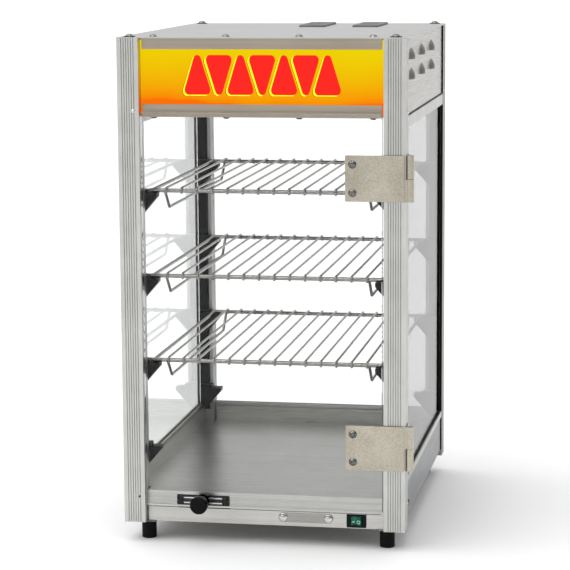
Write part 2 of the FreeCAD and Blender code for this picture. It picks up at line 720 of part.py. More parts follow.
def save_switch():
    """The switch housing and its rocker, which tips about an upright pin; its left end is pressed."""
    half = SWITCH_WIDTH / 2
    rise = SWITCH_HEIGHT / 2
    front = BASE_FACE - SWITCH_BEZEL
    back = BASE_FACE + SWITCH_DEPTH
    bezel = block(SWITCH_X - half, SWITCH_X + half, front, BASE_FACE, SWITCH_Z - rise, SWITCH_Z + rise)
    bezel = bezel.makeFillet(1.2, edges_along(bezel, BACKWARDS))
    well_half = ROCKER_WIDTH / 2 + ROCKER_SIDE_ROOM
    well_rise = ROCKER_HEIGHT / 2 + ROCKER_END_ROOM
    well_back = ROCKER_PIVOT_Y + ROCKER_WELL
    well = block(
        SWITCH_X - well_half, SWITCH_X + well_half, front - 1, well_back,
        SWITCH_Z - well_rise, SWITCH_Z + well_rise,
    )
    pin_half = rise - ROCKER_PIN_INSET
    pivot = Vector(SWITCH_X, ROCKER_PIVOT_Y, SWITCH_Z)
    pin = rod(ROCKER_PIN, pivot + DOWN * pin_half, UP, 2 * pin_half)
    bore_half = pin_half + 0.1
    bore = rod(ROCKER_PIN + PIN_CLEARANCE, pivot + DOWN * bore_half, UP, 2 * bore_half)
    blades = []
    for x in (SWITCH_X - SWITCH_BLADE_PITCH, SWITCH_X, SWITCH_X + SWITCH_BLADE_PITCH):
        blades.append(block(
            x - BLADE_THICKNESS / 2, x + BLADE_THICKNESS / 2, back - WELD, back + SWITCH_BLADE,
            SWITCH_Z - BLADE_WIDTH / 2, SWITCH_Z + BLADE_WIDTH / 2,
        ))
    body = switch_body(0, BASE_FACE - WELD, back)
    save("switch_housing", cut(join(bezel, body, *blades), well, bore))

    end = ROCKER_WIDTH / 2
    outline = [
        Vector(-end, -3.6, 0),
        Vector(0, -1.9, 0),
        Vector(end, -3.6, 0),
        Vector(end, 0.6, 0),
        Vector(2.2, 3.2, 0),
        Vector(-2.2, 3.2, 0),
        Vector(-end, 0.6, 0),
    ]
    face = Part.Face(Part.makePolygon(outline + outline[:1]))
    rocker = face.extrude(Vector(0, 0, ROCKER_HEIGHT))
    rocker.rotate(Vector(), UP, -ROCKER_TILT)
    rocker = moved(rocker, SWITCH_X, ROCKER_PIVOT_Y, SWITCH_Z - ROCKER_HEIGHT / 2)
    save("switch_rocker", join(rocker, pin))


# ---------------------------------------------------------------- catch and knob

def save_catch():
    """The magnetic catch: a housing through the base panel that holds a magnet between two steel poles."""
    half = CATCH_LENGTH / 2
    rise = CATCH_HEIGHT / 2
    housing = block(CATCH_X - half, CATCH_X + half, CATCH_FACE, CATCH_BACK, CATCH_Z - rise, CATCH_Z + rise)
    housing = housing.makeFillet(1.0, edges_along(housing, BACKWARDS))
    reach = POLE_LENGTH / 2
    outer = POLE_OFFSET + POLE_THICKNESS / 2
    inner = POLE_OFFSET - POLE_THICKNESS / 2
    left = CATCH_X - reach
    right = CATCH_X + reach
    back = CATCH_BACK - 2
    pocket = block(left, right, CATCH_FACE - 1, back, CATCH_Z - outer, CATCH_Z + outer)
    save("catch_housing", cut(housing, pocket))
    magnet = block(left, right, CATCH_FACE + POLE_THICKNESS, back, CATCH_Z - inner, CATCH_Z + inner)
    poles = []
    for side in (-1, 1):
        middle = CATCH_Z + side * POLE_OFFSET
        low = middle - POLE_THICKNESS / 2
        poles.append(block(left, right, CATCH_FACE - POLE_PROUD, back, low, low + POLE_THICKNESS))
    save("catch_magnet", magnet)
    save("catch_poles", *poles)


def save_knob():
    """The knob, its washer outside the glass, and the steel strike and screw inside it."""
    root = Vector(KNOB_NECK, -KNOB_WASHER, 0)
    neck_end = Vector(KNOB_NECK, -KNOB_NECK_END, 0)
    rim_start = Vector(KNOB_RADIUS, -KNOB_RIM_START, 0)
    rim_end = Vector(KNOB_RADIUS, -KNOB_LENGTH + KNOB_CROWN, 0)
    face_edge = Vector(KNOB_RADIUS - KNOB_CROWN, -KNOB_LENGTH, 0)
    corner = KNOB_CROWN * (1 - math.sqrt(0.5))
    crown_middle = Vector(KNOB_RADIUS - corner, -KNOB_LENGTH + corner, 0)
    flare_middle = (neck_end + rim_start) / 2 + Vector(-0.5, -0.7, 0)
    profile = Part.Wire([
        Part.makeLine(Vector(0, -KNOB_WASHER, 0), root),
        Part.makeLine(root, neck_end),
        Part.Arc(neck_end, flare_middle, rim_start).toShape(),
        Part.makeLine(rim_start, rim_end),
        Part.Arc(rim_end, crown_middle, face_edge).toShape(),
        Part.makeLine(face_edge, Vector(0, -KNOB_LENGTH, 0)),
        Part.makeLine(Vector(0, -KNOB_LENGTH, 0), Vector(0, -KNOB_WASHER, 0)),
    ])
    knob = Part.Face(profile).revolve(Vector(), BACKWARDS, 360)
    centre = Vector(CATCH_X, 0, CATCH_Z)
    knob = moved(knob, *centre)
    save("knob", cut(knob, rod(SHANK + THREAD_ROOM, centre, FORWARDS, KNOB_SCREW + GAP)))
    washer_radius = KNOB_NECK + 2
    washer = cut(rod(washer_radius, centre, FORWARDS, KNOB_WASHER), rod(SCREW_HOLE, centre, FORWARDS, 2))
    inside = centre + BACKWARDS * DOOR_GLASS
    sunk = Part.makeCone(SHANK, SHANK + STRIKE, STRIKE, inside, BACKWARDS)
    shank = rod(SHANK, inside + BACKWARDS * (STRIKE / 2), FORWARDS, STRIKE / 2 + DOOR_GLASS + KNOB_SCREW)
    screw = join(sunk, shank)
    strike = cut(rod(STRIKE_RADIUS, inside, BACKWARDS, STRIKE), screw)
    save("knob_fixings", washer, screw, strike)


# ---------------------------------------------------------------- door and hinges

def hinge_screw_places():
    """Where each moving hinge leaf is bolted through the glass."""
    places = []
    for bottom in (UPPER_HINGE_BOTTOM, LOWER_HINGE_BOTTOM):
        for side in (-1, 1):
            height = bottom + HINGE_LENGTH / 2 + side * HINGE_SCREW_SPAN / 2
            places.append(Vector(HINGE_SCREW_X, 0, height))
    return places


def save_door():
    """The frameless glass leaf, with holes for its hinge screws and its knob."""
    edge = POST + DOOR_SIDE_GAP
    glass = block(edge, WIDTH - edge, 0, DOOR_GLASS, DOOR_BOTTOM, DOOR_TOP)
    glass = glass.makeFillet(3.0, edges_along(glass, BACKWARDS))
    rims = [e for e in glass.Edges if e.BoundBox.YLength < 0.01]
    glass = glass.makeChamfer(0.4, rims)
    holes = []
    for place in hinge_screw_places() + [Vector(CATCH_X, 0, CATCH_Z)]:
        holes.append(rod(DOOR_SCREW_HOLE, place + FORWARDS, BACKWARDS, DOOR_GLASS + 2))
    save("door_glass", cut(glass, *holes))

    pads = []
    for bottom in (UPPER_HINGE_BOTTOM, LOWER_HINGE_BOTTOM):
        top = bottom + HINGE_LENGTH
        pads.append(block(HINGE_LEFT + 1, WIDTH - edge - 1, -HINGE_PAD, 0, bottom + 1, top - 1))
    save("hinge_pads", *[cut(pad, *holes) for pad in pads])

    front = -HINGE_PAD - HINGE_PLATE
    grip = DOOR_GLASS + HINGE_PAD + HINGE_PLATE
    screws = [pan_screw((p.x, front, p.z), FORWARDS, grip + 3.0) for p in hinge_screw_places()]
    nuts = [nut(p) for p in hinge_screw_places()]
    save("hinge_glass_bolts", *screws, *nuts)


def nut(place):
    """A hexagon nut on the inner face of the glass."""
    corners = []
    for step in range(7):
        angle = math.radians(60 * step)
        x = place.x + NUT_RADIUS * math.cos(angle)
        z = place.z + NUT_RADIUS * math.sin(angle)
        corners.append(Vector(x, DOOR_GLASS, z))
    body = Part.Face(Part.makePolygon(corners)).extrude(BACKWARDS * NUT_HEIGHT)
    return cut(body, rod(SHANK + THREAD_ROOM, place, BACKWARDS, DOOR_GLASS + 5))


def knuckle(low, high):
    """One barrel section of a hinge."""
    return rod(BARREL_RADIUS, Vector(BARREL_X, BARREL_Y, low), UP, high - low)


def door_leaf(bottom, door_low, door_high):
    """The wide leaf over the glass and the post; a set-back tab joins it to the knuckle it carries."""
    front = -HINGE_PAD - HINGE_PLATE
    top = bottom + HINGE_LENGTH
    plate = block(HINGE_LEFT, WIDTH - 1, front, front + HINGE_PLATE, bottom, top)
    corners = [e for e in edges_along(plate, BACKWARDS) if e.BoundBox.XMax < WIDTH / 2 + 100]
    plate = plate.makeFillet(1.0, corners)
    tab = block(WIDTH - 2, BARREL_X, front + TAB_SET_BACK, -0.2, door_low, door_high)
    bore = rod(PIN_RADIUS + PIN_CLEARANCE, Vector(BARREL_X, BARREL_Y, bottom - 1), UP, HINGE_LENGTH + 2)
    holes = [rod(SCREW_HOLE, place + FORWARDS * 5, BACKWARDS, 10) for place in hinge_screw_places()]
    return cut(join(plate, tab, knuckle(door_low, door_high)), bore, *holes)


def post_leaf(bottom, post_low, post_high):
    """The narrow leaf on the side of the front right post; it carries the other knuckle."""
    top = bottom + HINGE_LENGTH
    plate = block(WIDTH, WIDTH + HINGE_PLATE, POST_LEAF_FRONT, POST_LEAF_REAR, bottom, top)
    corners = [e for e in edges_along(plate, RIGHTWARDS) if e.BoundBox.YMin > POST_LEAF_FRONT + 1]
    plate = plate.makeFillet(1.0, corners)
    tab = block(WIDTH, WIDTH + HINGE_PLATE, BARREL_Y, POST_LEAF_FRONT + 1, post_low, post_high)
    bore = rod(PIN_RADIUS + 0.01, Vector(BARREL_X, BARREL_Y, bottom - 1), UP, HINGE_LENGTH + 2)
    holes = [rod(SCREW_HOLE, Vector(*place) + RIGHTWARDS, LEFTWARDS, 10) for place in leaf_screw_places()]
    return cut(join(plate, tab, knuckle(post_low, post_high)), bore, *holes)


def save_hinges():
    """Two hinges; each door leaf's knuckle faces the middle of the door."""
    half = HINGE_LENGTH / 2
    upper_split = UPPER_HINGE_BOTTOM + half
    lower_split = LOWER_HINGE_BOTTOM + half
    upper_top = UPPER_HINGE_BOTTOM + HINGE_LENGTH
    lower_top = LOWER_HINGE_BOTTOM + HINGE_LENGTH
    upper_door_leaf = door_leaf(UPPER_HINGE_BOTTOM, UPPER_HINGE_BOTTOM, upper_split - KNUCKLE_GAP)
    save("hinge_door_leaf_upper", upper_door_leaf)
    save("hinge_door_leaf_lower", door_leaf(LOWER_HINGE_BOTTOM, lower_split + KNUCKLE_GAP, lower_top))
    save("hinge_post_leaf_upper", post_leaf(UPPER_HINGE_BOTTOM, upper_split, upper_top))
    save("hinge_post_leaf_lower", post_leaf(LOWER_HINGE_BOTTOM, LOWER_HINGE_BOTTOM, lower_split))
    pins = []
    for bottom in (UPPER_HINGE_BOTTOM, LOWER_HINGE_BOTTOM):
        pins.append(rod(PIN_RADIUS, Vector(BARREL_X, BARREL_Y, bottom), UP, HINGE_LENGTH))
    save("hinge_pins", *pins)


# ---------------------------------------------------------------- shelf supports and shelves

def front_left_support():
    """A black strip down the back of the front left post, with a gusset bracket at each shelf level."""
    back = POST + STRIP_THICKNESS
    strip = block(STRIP_LEFT, STRIP_RIGHT, POST, back, LOWER_RAIL_BOTTOM + GAP, STRIP_TOP)
    root = STRIP_LEFT + 4
    brackets = []
    for ledge in LEDGES:
        outline = [
            Vector(root, back, ledge + BRACKET_LIP),
            Vector(BRACKET_LIP_RIGHT, back, ledge + BRACKET_LIP),
            Vector(BRACKET_LIP_RIGHT, back, ledge),
            Vector(BRACKET_RIGHT, back, ledge),
            Vector(BRACKET_RIGHT, back, ledge - BRACKET_NOSE),
            Vector(STRIP_RIGHT, back, ledge - BRACKET_DROP),
            Vector(root, back, ledge - BRACKET_DROP),
        ]
        face = Part.Face(Part.makePolygon(outline + outline[:1]))
        brackets.append(face.extrude(BACKWARDS * BRACKET_DEPTH))
    return join(strip, *brackets)


def curled_end(x, y, z, lift, angle):
    """The end of a cross wire, wrapped from the top of a rail down and under it."""
    disc = Part.Face(Part.Wire(Part.makeCircle(SHELF_WIRE, Vector(x, y, z + lift), BACKWARDS)))
    return disc.revolve(Vector(x, y, z), RIGHTWARDS, angle)


def shelf_grid(ledge):
    """A shelf's grid: a rail frame, and cross wires whose ends curl round the front and rear rails."""
    z = ledge + SHELF_RAIL
    left = SHELF_INSET + SHELF_RAIL
    right = WIDTH - left
    front = SHELF_FRONT + SHELF_RAIL
    rear = DEPTH - front
    rails = []
    for y in (front, rear):
        end = Vector(left - SHELF_RAIL, y, z)
        rails.append(rod(SHELF_RAIL, end, RIGHTWARDS, right - left + 2 * SHELF_RAIL))
    for x in (left, right):
        rails.append(rod(SHELF_SIDE_RAIL, Vector(x, front, z), BACKWARDS, rear - front))
    lift = SHELF_RAIL + SHELF_WIRE - WELD
    pitch = (right - left) / (SHELF_WIRE_COUNT + 1)
    wires = []
    for index in range(1, SHELF_WIRE_COUNT + 1):
        x = left + index * pitch
        wires.append(rod(SHELF_WIRE, Vector(x, front, z + lift), BACKWARDS, rear - front))
        wires.append(curled_end(x, front, z, lift, CURL_ANGLE))
        wires.append(curled_end(x, rear, z, lift, -CURL_ANGLE))
    return join(*rails, *wires)


def bent_wire(points, radius, bend):
    """A round wire along straight runs, with its corners bent to one radius."""
    edges = []
    start = points[0]
    for before, corner, after in zip(points, points[1:], points[2:]):
        towards = (before - corner).normalize()
        away = (after - corner).normalize()
        half = towards.getAngle(away) / 2
        reach = bend / math.tan(half)
        first = corner + towards * reach
        last = corner + away * reach
        inner = corner + (towards + away).normalize() * (bend / math.sin(half) - bend)
        edges.append(Part.makeLine(start, first))
        edges.append(Part.Arc(first, inner, last).toShape())
        start = last
    edges.append(Part.makeLine(start, points[-1]))
    section = Part.Wire([Part.makeCircle(radius, points[0], points[1] - points[0])])
    return Part.Wire(edges).makePipeShell([section], True, False)


def shelf_runner(ledge):
    """The left runner under a shelf: it drops from the front rail, runs back and rises to the rear rail."""
    z = ledge + SHELF_RAIL
    front = SHELF_FRONT + SHELF_RAIL
    rear = DEPTH - front
    touch = SHELF_RAIL / math.sqrt(2)
    return bent_wire(
        [
            Vector(RUNNER_INSET, front + touch, z - touch),
            Vector(RUNNER_INSET, front + RUNNER_DROP, z - RUNNER_DROP),
            Vector(RUNNER_INSET, rear - RUNNER_DROP, z - RUNNER_DROP),
            Vector(RUNNER_INSET, rear - touch, z - touch),
        ],
        RUNNER_WIRE,
        RUNNER_BEND,
    )


def save_shelves():
    """Supports in the four corners and three lift-out wire shelves on their upper levels."""
    front_left, front_right, rear_left, rear_right = at_four_corners(front_left_support())
    save("shelf_supports_left", front_left, rear_left)
    save("shelf_supports_right", front_right, rear_right)
    lowest = LEDGES[1]
    grid = shelf_grid(lowest)
    runner = shelf_runner(lowest)
    for number, ledge in enumerate(LEDGES[1:], start=1):
        pieces = [moved(piece, z=ledge - lowest) for piece in (grid, runner, mirror_x(runner))]
        save(f"shelf_{number}", *pieces)


# ---------------------------------------------------------------- parts inside

def save_lamp():
    """The sign lamp on the ceiling, between two holders."""
    left = (WIDTH - LAMP_LENGTH) / 2
    tube = rod(LAMP_RADIUS, Vector(left, LAMP_Y, LAMP_Z), RIGHTWARDS, LAMP_LENGTH)
    save("sign_lamp", tube)
    low = CEILING + SHEET
    holders = []
    for x in (left - HOLDER_WIDTH, left + LAMP_LENGTH):
        holder = join(
            block(x, x + HOLDER_WIDTH, LAMP_Y - HOLDER_RADIUS, LAMP_Y + HOLDER_RADIUS, low, LAMP_Z),
            rod(HOLDER_RADIUS, Vector(x, LAMP_Y, LAMP_Z), RIGHTWARDS, HOLDER_WIDTH),
        )
        holders.append(holder)
    save("lamp_holders", *holders)


def save_heater():
    """The tubular heater under the floor, its clips, and the thermostat that senses the floor."""
    points = [
        Vector(HEATER_LEFT, HEATER_REAR, HEATER_Z),
        Vector(HEATER_LEFT, HEATER_FRONT, HEATER_Z),
        Vector(HEATER_RIGHT, HEATER_FRONT, HEATER_Z),
        Vector(HEATER_RIGHT, HEATER_REAR, HEATER_Z),
    ]
    element = bent_wire(points, HEATER_RADIUS, HEATER_BEND)
    low = BASE_SIDE_BOTTOM + 2 * SHEET
    clips = []
    for x in (HEATER_LEFT, HEATER_RIGHT):
        for y in (HEATER_FRONT + 60, HEATER_REAR - 30):
            clip = block(x - CLIP_REACH, x + CLIP_REACH, y - 4, y + 4, low, HEATER_Z + CLIP_REACH)
            clips.append(cut(clip, rod(HEATER_RADIUS + 0.05, Vector(x, y - 5, HEATER_Z), BACKWARDS, 10)))
    save("heater", element, *clips)
    under_floor = Vector(WIDTH / 2, THERMOSTAT_Y, FLOOR_TOP - SHEET)
    sensor = join(
        rod(THERMOSTAT_RADIUS + 1.5, under_floor, DOWN, 4),
        rod(THERMOSTAT_RADIUS, under_floor, DOWN, THERMOSTAT_DEPTH),
    )
    save("thermostat", sensor)


def save_gland():
    """The cord gland in the rear base panel; no cord is fitted."""
    centre = Vector(GLAND_X, REAR_WALL, GLAND_Z)
    flange = rod(GLAND_BODY + 3, centre, BACKWARDS, GLAND_FLANGE)
    body = rod(GLAND_BODY, centre + BACKWARDS, FORWARDS, GLAND_LENGTH)
    inner_nut = rod(GLAND_BODY + 2.5, centre + FORWARDS * (SHEET + 0.05), FORWARDS, 3)
    bore = rod(GLAND_BORE, centre + BACKWARDS * GLAND_LENGTH, FORWARDS, 2 * GLAND_LENGTH)
    save("cord_gland", cut(join(flange, body, inner_nut), bore))


# ---------------------------------------------------------------- screws

def save_screws(plate_screws):
    """The cabinet's screws, with those of the foot plates, and the star washers on top of the posts."""
    middle = POST / 2
    post_axes = [(x, y) for x in (middle, WIDTH - middle) for y in (middle, DEPTH - middle)]
    washers = []
    screws = list(plate_screws)
    for x, y in post_axes:
        washers.append(star_washer(x, y))
        screws.append(pan_screw((x, y, ROOF + WASHER_HEIGHT), UP, POST_SCREW))
    for x in TRIM_SCREW_X:
        screws.append(pan_screw((x, TRIM_SCREW_Y, ROOF), UP, SHEET_SCREW))
        screws.append(pan_screw((x, TRIM_SCREW_Y, LOWER_TRIM_BOTTOM), DOWN, SHEET_SCREW))
    for place in leaf_screw_places():
        screws.append(pan_screw(place, RIGHTWARDS, SHEET_SCREW))
    base_screw = pan_screw((PANEL_RECESS, BASE_SCREW_Y, BASE_SCREW_Z), LEFTWARDS, SHEET_SCREW)
    screws += [base_screw, mirror_x(base_screw)]
    save("cabinet_screws", *screws)
    save("star_washers", *washers)


def star_washer(x, y):
    """A toothed lock washer on the roof, over a post's axis."""
    ring = rod(WASHER_RADIUS, Vector(x, y, ROOF), UP, WASHER_HEIGHT)
    tools = [rod(SCREW_HOLE, Vector(x, y, ROOF - 1), UP, 3)]
    for index in range(WASHER_TEETH):
        angle = math.radians(360 / WASHER_TEETH * index)
        outwards = Vector(math.cos(angle), math.sin(angle), 0)
        tools.append(rod(0.8, Vector(x, y, ROOF - 1) + outwards * WASHER_RADIUS, UP, 3))
    return cut(ring, *tools)


os.makedirs("parts", exist_ok=True)
save_posts()
sunk_screws = save_feet()
save_walls()
save_seals()
save_roof()
save_pans()
save_sign()
save_base_front()
save_switch()
save_catch()
save_knob()
save_door()
save_hinges()
save_shelves()
save_lamp()
save_heater()
save_gland()
save_screws(sunk_screws)
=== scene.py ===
import bmesh
import bpy
import math
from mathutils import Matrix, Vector
from mathutils.bvhtree import BVHTree


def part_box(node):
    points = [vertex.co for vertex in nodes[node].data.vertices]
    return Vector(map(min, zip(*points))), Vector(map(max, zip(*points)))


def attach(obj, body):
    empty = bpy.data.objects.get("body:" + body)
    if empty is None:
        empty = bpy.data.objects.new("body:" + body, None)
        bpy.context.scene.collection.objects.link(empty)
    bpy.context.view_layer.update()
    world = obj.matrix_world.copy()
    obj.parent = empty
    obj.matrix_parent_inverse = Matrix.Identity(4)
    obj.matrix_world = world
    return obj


# Looks for the glass door merchandiser: node materials, sign artwork, switch marks, camera, studio.
# Lengths are in metres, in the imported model's frame. Places on the cabinet are in millimetres from
# the front left post's outer corner at its foot, as (right, back, up).

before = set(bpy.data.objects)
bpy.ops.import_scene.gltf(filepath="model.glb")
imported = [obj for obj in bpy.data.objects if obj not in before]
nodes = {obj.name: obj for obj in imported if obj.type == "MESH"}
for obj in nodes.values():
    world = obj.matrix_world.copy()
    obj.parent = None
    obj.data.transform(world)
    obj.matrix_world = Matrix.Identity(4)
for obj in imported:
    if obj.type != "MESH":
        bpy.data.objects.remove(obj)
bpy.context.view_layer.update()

MM = 0.001
X, Y, Z = 0, 1, 2
POST_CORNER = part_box("post_front_left")[0]

# The part of the sign that shows, between its two trims.
SIGN_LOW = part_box("sign_trim_lower")[1].z
SIGN_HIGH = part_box("sign_trim_upper")[0].z


def at(right, back, up):
    """A place on the cabinet, in the model's frame."""
    return POST_CORNER + Vector((right, back, up)) * MM


# ---------------------------------------------------------------- node materials

# How much of a noise's range is used. A narrow span gives a harder contrast, and a high one leaves
# more of the surface in the first of two colours.
WIDE = (0.25, 0.75)
MIDDLE = (0.3, 0.7)
NARROW = (0.35, 0.65)
SPECKLED = (0.38, 0.62)
SPOTTED = (0.4, 0.65)
RIPPLED = (0.4, 0.7)
SMEARED = (0.45, 0.75)

# Grain of brushed sheets and of extrusions: lines in cycles per metre across it, their depth, the
# softening of edges, and how many times longer a line is than it is wide.
BRUSH_FINE = 1700.0
BRUSH_BROAD = 260.0
BRUSH_DEPTH = 0.00002
BRUSH_EDGE = 0.0004
DIE_FINE = 2600.0
DIE_BROAD = 900.0
DIE_DEPTH = 0.000006
DIE_EDGE = 0.0002
LINE_STRETCH = 90

# Cloudy marks, in cycles per metre.
SHEET_CLOUDS = 14
FILM_CLOUDS = 25
GLOSS_CLOUDS = 60

# Grain of most mouldings, and the softening of their edges.
GRAIN = 900.0
GRAIN_DEPTH = 0.00003
MOULD_EDGE = 0.0003


def rgb(red, green, blue):
    """A colour given as 0 to 255 in sRGB, as linear values."""
    return tuple(
        ((value / 255 + 0.055) / 1.055) ** 2.4 if value > 10 else value / 255 / 12.92
        for value in (red, green, blue)
    ) + (1.0,)


class Build:
    """One node material, built up from textures that are measured in metres on the piece."""

    def __init__(self, name, **values):
        self.material = bpy.data.materials.new(name)
        self.material.use_nodes = True
        self.tree = self.material.node_tree
        self.shader = self.tree.nodes["Principled BSDF"]
        self.place = self.node("ShaderNodeTexCoord").outputs["Object"]
        for key, value in values.items():
            self.shader.inputs[key].default_value = value

    def node(self, kind, **settings):
        made = self.tree.nodes.new(kind)
        for key, value in settings.items():
            setattr(made, key, value)
        return made

    def feed(self, value, socket):
        """Links an output to a socket, or sets the socket to a plain value."""
        if isinstance(value, bpy.types.NodeSocket):
            self.tree.links.new(value, socket)
        else:
            socket.default_value = value

    def noise(self, cycles, detail=3.0, roughness=0.6):
        """Noise with a number of cycles per metre, alike on the three axes or one for each."""
        if not isinstance(cycles, tuple):
            cycles = (cycles, cycles, cycles)
        made = self.node("ShaderNodeTexNoise")
        made.inputs["Scale"].default_value = 1.0
        made.inputs["Detail"].default_value = detail
        made.inputs["Roughness"].default_value = roughness
        scaled = self.node("ShaderNodeMapping")
        scaled.inputs["Scale"].default_value = cycles
        self.feed(self.place, scaled.inputs["Vector"])
        self.feed(scaled.outputs["Vector"], made.inputs["Vector"])
        return made.outputs["Fac"]

    def spread(self, value, span, to_low=0, to_high=1):
        """A value between the two limits of a span, mapped to two others."""
        made = self.node("ShaderNodeMapRange", clamp=True)
        self.feed(value, made.inputs["Value"])
        made.inputs["From Min"].default_value = span[0]
        made.inputs["From Max"].default_value = span[1]
        made.inputs["To Min"].default_value = to_low
        made.inputs["To Max"].default_value = to_high
        return made.outputs["Result"]

    def maths(self, operation, first, second):
        made = self.node("ShaderNodeMath", operation=operation)
        self.feed(first, made.inputs[0])
        self.feed(second, made.inputs[1])
        return made.outputs[0]

    def weighted(self, first, first_share, second, second_share):
        """The sum of two values, each with its share."""
        return self.maths(
            "ADD",
            self.maths("MULTIPLY", first, first_share),
            self.maths("MULTIPLY", second, second_share),
        )

    def mixed(self, factor, first, second):
        made = self.node("ShaderNodeMix", data_type="RGBA")
        self.feed(factor, made.inputs["Factor"])
        self.feed(first, made.inputs["A"])
        self.feed(second, made.inputs["B"])
        return made.outputs["Result"]

    def part(self, vector, axis):
        """One coordinate of a vector."""
        made = self.node("ShaderNodeSeparateXYZ")
        self.feed(vector, made.inputs["Vector"])
        return made.outputs[axis]

    def bump(self, height, depth, edge=0.0):
        """Raises the surface by a depth in metres where the height is 1, and softens edges."""
        made = self.node("ShaderNodeBump")
        made.inputs["Distance"].default_value = depth
        self.feed(height, made.inputs["Height"])
        if edge:
            soft = self.node("ShaderNodeBevel", samples=4)
            soft.inputs["Radius"].default_value = edge
            self.feed(soft.outputs["Normal"], made.inputs["Normal"])
        self.feed(made.outputs["Normal"], self.shader.inputs["Normal"])

    def set(self, key, value):
        self.feed(value, self.shader.inputs[key])

    def gives(self, *names):
        """Gives the material to CAD nodes."""
        for name in names:
            for slot in nodes[name].material_slots:
                slot.material = self.material


def streaks(build, along, fine, broad):
    """Grain along one axis: fine lines, and broader ones with more detail."""
    made = []
    for across, detail in ((fine, 2.0), (broad, 3.0)):
        cycles = [across, across, across]
        cycles[along] = across / LINE_STRETCH
        made.append(build.noise(tuple(cycles), detail))
    return made


def brushed(name, along, colour, dark, roughness):
    """Brushed metal with grain along one axis, cloudy handling marks and softened edges."""
    build = Build(name, Metallic=1.0)
    fine, broad = streaks(build, along, BRUSH_FINE, BRUSH_BROAD)
    cloudy = build.noise(SHEET_CLOUDS)
    tone = build.weighted(broad, 0.6, cloudy, 0.4)
    build.set("Base Color", build.mixed(build.spread(tone, WIDE), dark, colour))
    build.set("Roughness", build.spread(fine, WIDE, roughness - 0.06, roughness + 0.08))
    height = build.maths("ADD", fine, build.maths("MULTIPLY", broad, 0.5))
    build.bump(height, BRUSH_DEPTH, BRUSH_EDGE)
    return build


def anodised(name, along, colour, dark, roughness):
    """Satin anodised extrusion: very fine die lines along one axis and a slightly cloudy film."""
    build = Build(name, Metallic=1.0)
    fine, broad = streaks(build, along, DIE_FINE, DIE_BROAD)
    cloudy = build.noise(FILM_CLOUDS)
    build.set("Base Color", build.mixed(build.spread(cloudy, NARROW), dark, colour))
    build.set("Roughness", build.spread(fine, WIDE, roughness - 0.04, roughness + 0.06))
    height = build.maths("ADD", fine, build.maths("MULTIPLY", broad, 0.3))
    build.bump(height, DIE_DEPTH, DIE_EDGE)
    return build


def moulded(name, colour, roughness, grain, depth, values):
    """A moulded or painted surface with a fine grain and slightly uneven gloss."""
    build = Build(name, **values)
    fine = build.noise(grain)
    broad = build.noise(GLOSS_CLOUDS)
    lighter = tuple(min(1.0, value * 1.6 + 0.004) for value in colour[:3]) + (1.0,)
    build.set("Base Color", build.mixed(build.spread(broad, MIDDLE), colour, lighter))
    build.set("Roughness", build.spread(broad, MIDDLE, roughness - 0.05, roughness + 0.07))
    build.bump(fine, depth, MOULD_EDGE)
    return build


# Each row: name, axis of the grain, colour, darker colour, roughness, CAD nodes.
ANODISED = (
    ("extruded_aluminium", Z, rgb(206, 206, 203), rgb(196, 196, 193), 0.40,
     ("post_front_left", "post_front_right")),
    # Painted shade: the rear posts are the same extrusion as the front ones, in darker colours that
    # stand in for the shade on them.
    ("extruded_aluminium_rear_painted_shade", Z, rgb(176, 176, 174), rgb(166, 166, 164), 0.44,
     ("post_rear_left", "post_rear_right")),
    ("extruded_aluminium_rail", Y, rgb(190, 189, 186), rgb(178, 177, 174), 0.36,
     ("upper_channel_left", "upper_channel_right", "lower_channel_left", "lower_channel_right")),
    ("extruded_aluminium_rear_rail", X, rgb(206, 206, 203), rgb(194, 194, 191), 0.38,
     ("rear_channels",)),
)
BRUSHED = (
    ("brushed_sheet_across", X, rgb(206, 205, 202), rgb(174, 173, 170), 0.30,
     ("base_front", "base_rear", "hood_rear", "floor_panel", "ceiling_panel", "bottom_panel")),
    ("plain_plate", X, rgb(172, 170, 166), rgb(138, 136, 132), 0.26,
     ("blank_plate",)),
    # Painted shade: the hood sides are the same brushed sheet as the front, in darker colours that
    # stand in for the shade on the cabinet's sides.
    ("brushed_sheet_along_painted_shade", Y, rgb(154, 151, 146), rgb(132, 129, 124), 0.26,
     ("hood_side_left", "hood_side_right")),
    # Painted shade: the base sides are the same brushed sheet as the front too, darker for the shade
    # on the cabinet's sides.
    ("brushed_sheet_low_painted_shade", Y, rgb(146, 147, 150), rgb(126, 127, 130), 0.38,
     ("base_side_left", "base_side_right")),
    ("brushed_roof", X, rgb(198, 198, 197), rgb(180, 180, 179), 0.38,
     ("roof_panel",)),
    ("brushed_trim", X, rgb(182, 172, 158), rgb(158, 148, 134), 0.36,
     ("sign_trim_upper", "sign_trim_lower")),
    ("bright_rivet", Z, rgb(226, 226, 225), rgb(196, 196, 195), 0.16,
     ("plate_rivets", "post_rivets")),
    ("ground_poles", X, rgb(225, 225, 222), rgb(200, 200, 198), 0.22,
     ("catch_poles",)),
)


